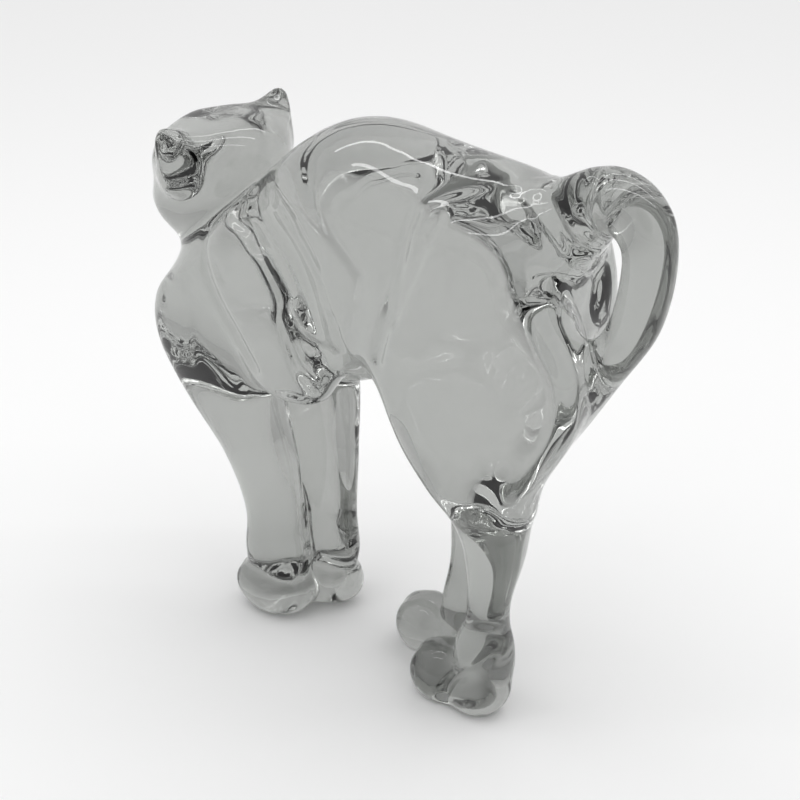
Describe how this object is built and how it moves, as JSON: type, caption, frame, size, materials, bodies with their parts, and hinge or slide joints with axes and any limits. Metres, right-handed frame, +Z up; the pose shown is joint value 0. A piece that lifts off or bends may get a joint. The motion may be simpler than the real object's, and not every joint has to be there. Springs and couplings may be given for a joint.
{
  "type": "crystal glass figurine",
  "caption": "Solid clear crystal cat figurine with an arched back and a looped tail, standing on flat-soled paws, for display on a shelf.",
  "frame": {"origin": "middle of the bounding box in plan, on the plane that the soles of the paws stand on", "axes": "+X the way the cat faces, +Y the cat's left side, +Z up"},
  "size_m": [0.1664, 0.0496, 0.145],
  "materials": {
    "crystal": "fire-polished, clear and colourless"
  },
  "bodies": {
    "root": {"torso": "crystal", "neck": "crystal", "head": "crystal", "left_ear": "crystal", "right_ear": "crystal", "left_foreleg": "crystal", "right_foreleg": "crystal", "left_hind_leg": "crystal", "right_hind_leg": "crystal", "left_fore_paw": "crystal", "right_fore_paw": "crystal", "left_hind_paw": "crystal", "right_hind_paw": "crystal", "tail": "crystal"}
  },
  "joints": []
}
